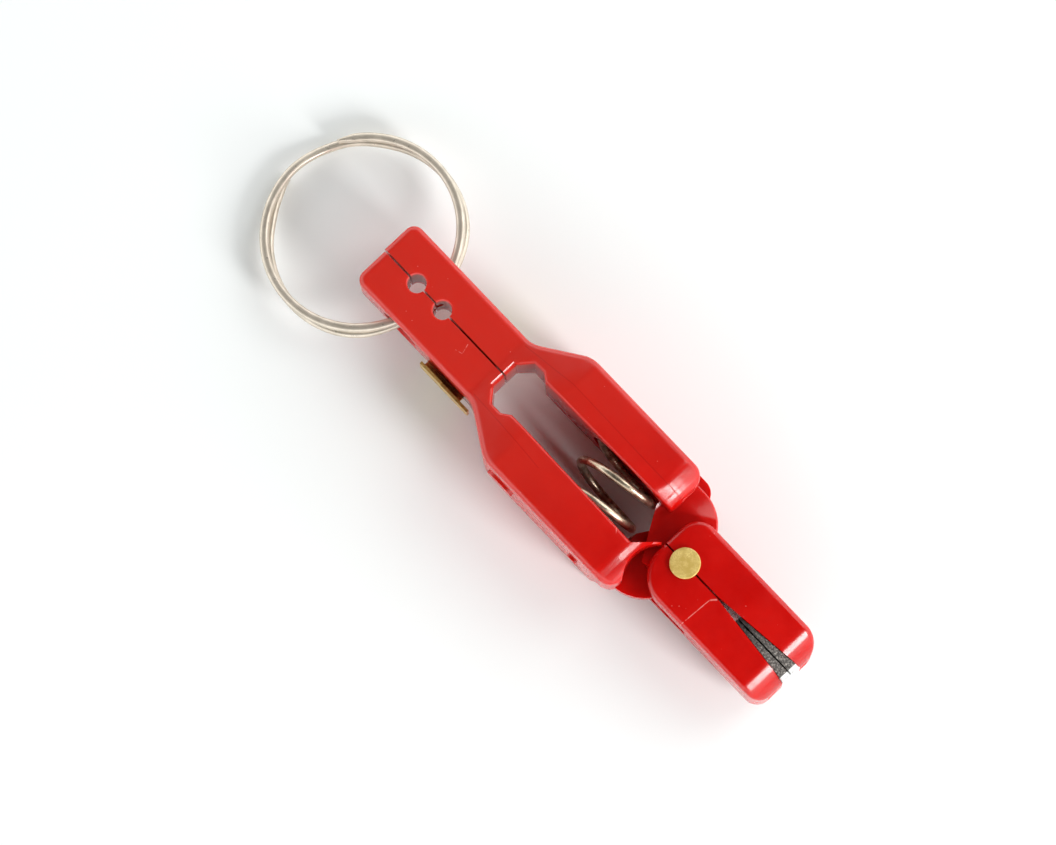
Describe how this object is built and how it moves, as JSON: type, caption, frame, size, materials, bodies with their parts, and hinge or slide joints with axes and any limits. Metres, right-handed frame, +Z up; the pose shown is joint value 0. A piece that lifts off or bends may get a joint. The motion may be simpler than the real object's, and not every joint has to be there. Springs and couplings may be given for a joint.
{
  "type": "pinch-pad spring clip",
  "caption": "Cross-lock spring clip: squeezing the grips opens rubber-lined jaws, a coil spring shuts them, and a split ring swings in the tail.",
  "frame": {"origin": "middle of the clip's length and width, on the surface under the grips", "axes": "+X along the clip towards the jaw tip, +Y towards the left grip, +Z up through the jaw pin's head"},
  "size_m": [0.0972, 0.0282, 0.0142],
  "materials": {
    "red_plastic": "moulded, semi-gloss, lightly scratched",
    "spring_steel": "drawn spring wire",
    "rivet_brass": "dull, slightly rough",
    "strap_brass": "dull sheet",
    "pad_rubber": "granular, matt",
    "ring_nickel": "warm bright nickel plate"
  },
  "bodies": {
    "right_arm": {"right_arm": "red_plastic", "right_pad": "pad_rubber", "jaw_pin": "rivet_brass", "tail_strap": "strap_brass", "tension_spring": "spring_steel"},
    "left_arm": {"left_arm": "red_plastic", "left_pad": "pad_rubber"},
    "split_ring": {"split_ring": "ring_nickel"}
  },
  "joints": [
    {"name": "squeeze", "type": "hinge", "parent": "right_arm", "child": "left_arm", "pos_m": [-0.01047, 0, 0.0071], "axis": [0, 0, -1], "range_deg": [0, 3.2], "stiffness_Nm_per_rad": 2.3, "springref_deg": -16.62, "deforming": ["tension_spring"]},
    {"name": "ring_swing", "type": "hinge", "parent": "right_arm", "child": "split_ring", "pos_m": [-0.02152, 0, 0.0071], "axis": [0, 1, 0], "range_deg": [-95, 120]}
  ]
}
